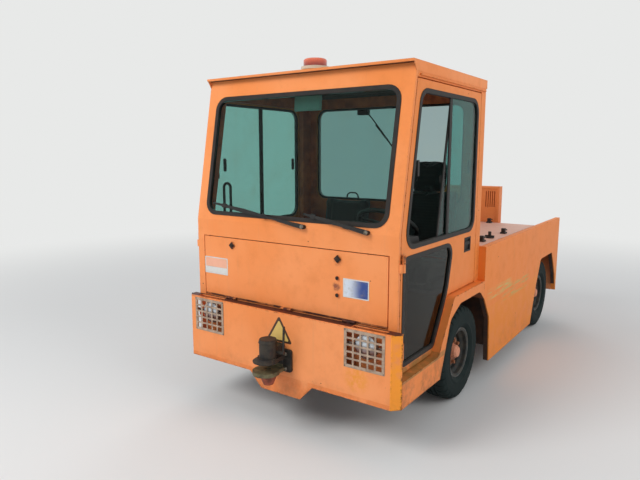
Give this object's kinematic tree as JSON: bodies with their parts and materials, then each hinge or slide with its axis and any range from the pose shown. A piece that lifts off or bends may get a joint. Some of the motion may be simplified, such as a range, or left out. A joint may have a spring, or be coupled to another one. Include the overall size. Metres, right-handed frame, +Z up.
{
  "type": "airport baggage tug",
  "caption": "Cabbed tow tractor with steered front wheels, hinged doors, front hatch and engine deck, and a jaw hitch at each end.",
  "frame": {"origin": "on the ground under the middle of the body", "axes": "+Z up, the tug faces -Y, +X is its left side"},
  "size_m": [1.6, 3.9, 2.225],
  "materials": {
    "orange_paint": "satin, weathered",
    "bleached_paint": "chalky, sun bleached",
    "black_paint": "satin",
    "chassis_paint": "dirty, rusty",
    "galvanised": "dull",
    "cast": "rough, worn",
    "rubber_black": "matt",
    "tyre_black": "matt, dusty",
    "wheel_paint": "dusty",
    "clear_glass": "slightly green",
    "lamp_glass": "clear",
    "beacon_orange": "translucent",
    "beacon_cream": "faded",
    "lamp_red": "translucent",
    "black_plastic": "grained",
    "seat_fabric": "woven"
  },
  "bodies": {
    "chassis": {"frame_rails": "chassis_paint", "front_bumper": "orange_paint", "lamp_grilles": "galvanised", "headlamps": "lamp_glass", "tow_hitches": "cast", "front_fenders": "orange_paint", "rear_sides": "orange_paint", "cab_floor": "orange_paint", "cab_front": "orange_paint", "cab_rear": "orange_paint", "cab_sides": "orange_paint", "cab_roof": "orange_paint", "beacon_base": "beacon_cream", "beacon_lens": "beacon_orange", "cab_glass": "clear_glass", "cab_seals": "rubber_black", "wipers": "black_plastic", "dashboard": "black_plastic", "driver_controls": "black_paint", "seat_base": "black_paint", "seat_cushions": "seat_fabric", "interior_mirror": "black_plastic", "engine_block": "cast", "radiator_housing": "orange_paint", "rear_bed": "orange_paint", "rear_lamps": "lamp_red", "front_axle": "chassis_paint", "front_springs": "chassis_paint", "rear_axle": "chassis_paint"},
    "steering_wheel": {"steering_wheel": "black_plastic"},
    "left_knuckle": {"left_knuckle": "chassis_paint"},
    "right_knuckle": {"right_knuckle": "chassis_paint"},
    "tie_rod": {"tie_rod": "chassis_paint"},
    "front_left_wheel": {"front_left_tyre": "tyre_black", "front_left_wheel": "wheel_paint"},
    "front_right_wheel": {"front_right_tyre": "tyre_black", "front_right_wheel": "wheel_paint"},
    "rear_left_wheel": {"rear_left_tyre": "tyre_black", "rear_left_wheel": "wheel_paint"},
    "rear_right_wheel": {"rear_right_tyre": "tyre_black", "rear_right_wheel": "wheel_paint"},
    "left_door": {"left_door": "orange_paint", "left_door_glass": "clear_glass", "left_door_trim": "rubber_black"},
    "right_door": {"right_door": "orange_paint", "right_door_glass": "clear_glass", "right_door_trim": "rubber_black"},
    "deck_lid": {"deck_lid": "bleached_paint", "deck_latches": "black_plastic"},
    "front_hatch": {"front_hatch": "orange_paint"}
  },
  "joints": [
    {"name": "steering_wheel_turn", "type": "hinge", "parent": "chassis", "child": "steering_wheel", "pos_m": [0.42, -1.185, 1.215], "axis": [0, 0.5736, 0.8192], "range_deg": [-525, 525]},
    {"name": "left_steer", "type": "hinge", "parent": "chassis", "child": "left_knuckle", "pos_m": [0.545, -0.718, 0.32], "axis": [0, 0, 1], "range_deg": [-35, 35]},
    {"name": "right_steer", "type": "hinge", "parent": "chassis", "child": "right_knuckle", "pos_m": [-0.545, -0.718, 0.32], "axis": [0, 0, 1], "range_deg": [-35, 35]},
    {"name": "tie_rod_swing", "type": "hinge", "parent": "left_knuckle", "child": "tie_rod", "pos_m": [0.545, -0.588, 0.27], "axis": [0, 0, 1], "range_deg": [-35, 35]},
    {"name": "front_left_spin", "type": "hinge", "parent": "left_knuckle", "child": "front_left_wheel", "pos_m": [0.657, -0.718, 0.32], "axis": [1, 0, 0], "continuous": true},
    {"name": "front_right_spin", "type": "hinge", "parent": "right_knuckle", "child": "front_right_wheel", "pos_m": [-0.657, -0.718, 0.32], "axis": [1, 0, 0], "continuous": true},
    {"name": "rear_left_spin", "type": "hinge", "parent": "chassis", "child": "rear_left_wheel", "pos_m": [0.657, 1.293, 0.32], "axis": [1, 0, 0], "continuous": true},
    {"name": "rear_right_spin", "type": "hinge", "parent": "chassis", "child": "rear_right_wheel", "pos_m": [-0.657, 1.293, 0.32], "axis": [1, 0, 0], "continuous": true},
    {"name": "left_door_hinge", "type": "hinge", "parent": "chassis", "child": "left_door", "pos_m": [0.766, -1.645, 1.083], "axis": [0, 0, -1], "range_deg": [0, 80]},
    {"name": "right_door_hinge", "type": "hinge", "parent": "chassis", "child": "right_door", "pos_m": [-0.766, -1.645, 1.083], "axis": [0, 0, 1], "range_deg": [0, 80]},
    {"name": "deck_lid_hinge", "type": "hinge", "parent": "chassis", "child": "deck_lid", "pos_m": [-0.762, 0.295, 1.025], "axis": [0, -1, 0], "range_deg": [0, 80]},
    {"name": "front_hatch_hinge", "type": "hinge", "parent": "chassis", "child": "front_hatch", "pos_m": [0, -1.68, 0.7265], "axis": [1, 0, 0], "range_deg": [0, 85]}
  ],
  "couplings": [
    {"joint": "left_steer", "follows": "steering_wheel_turn", "ratio": 0.06666},
    {"joint": "right_steer", "follows": "steering_wheel_turn", "ratio": 0.06666},
    {"joint": "tie_rod_swing", "follows": "steering_wheel_turn", "ratio": -0.06666}
  ]
}
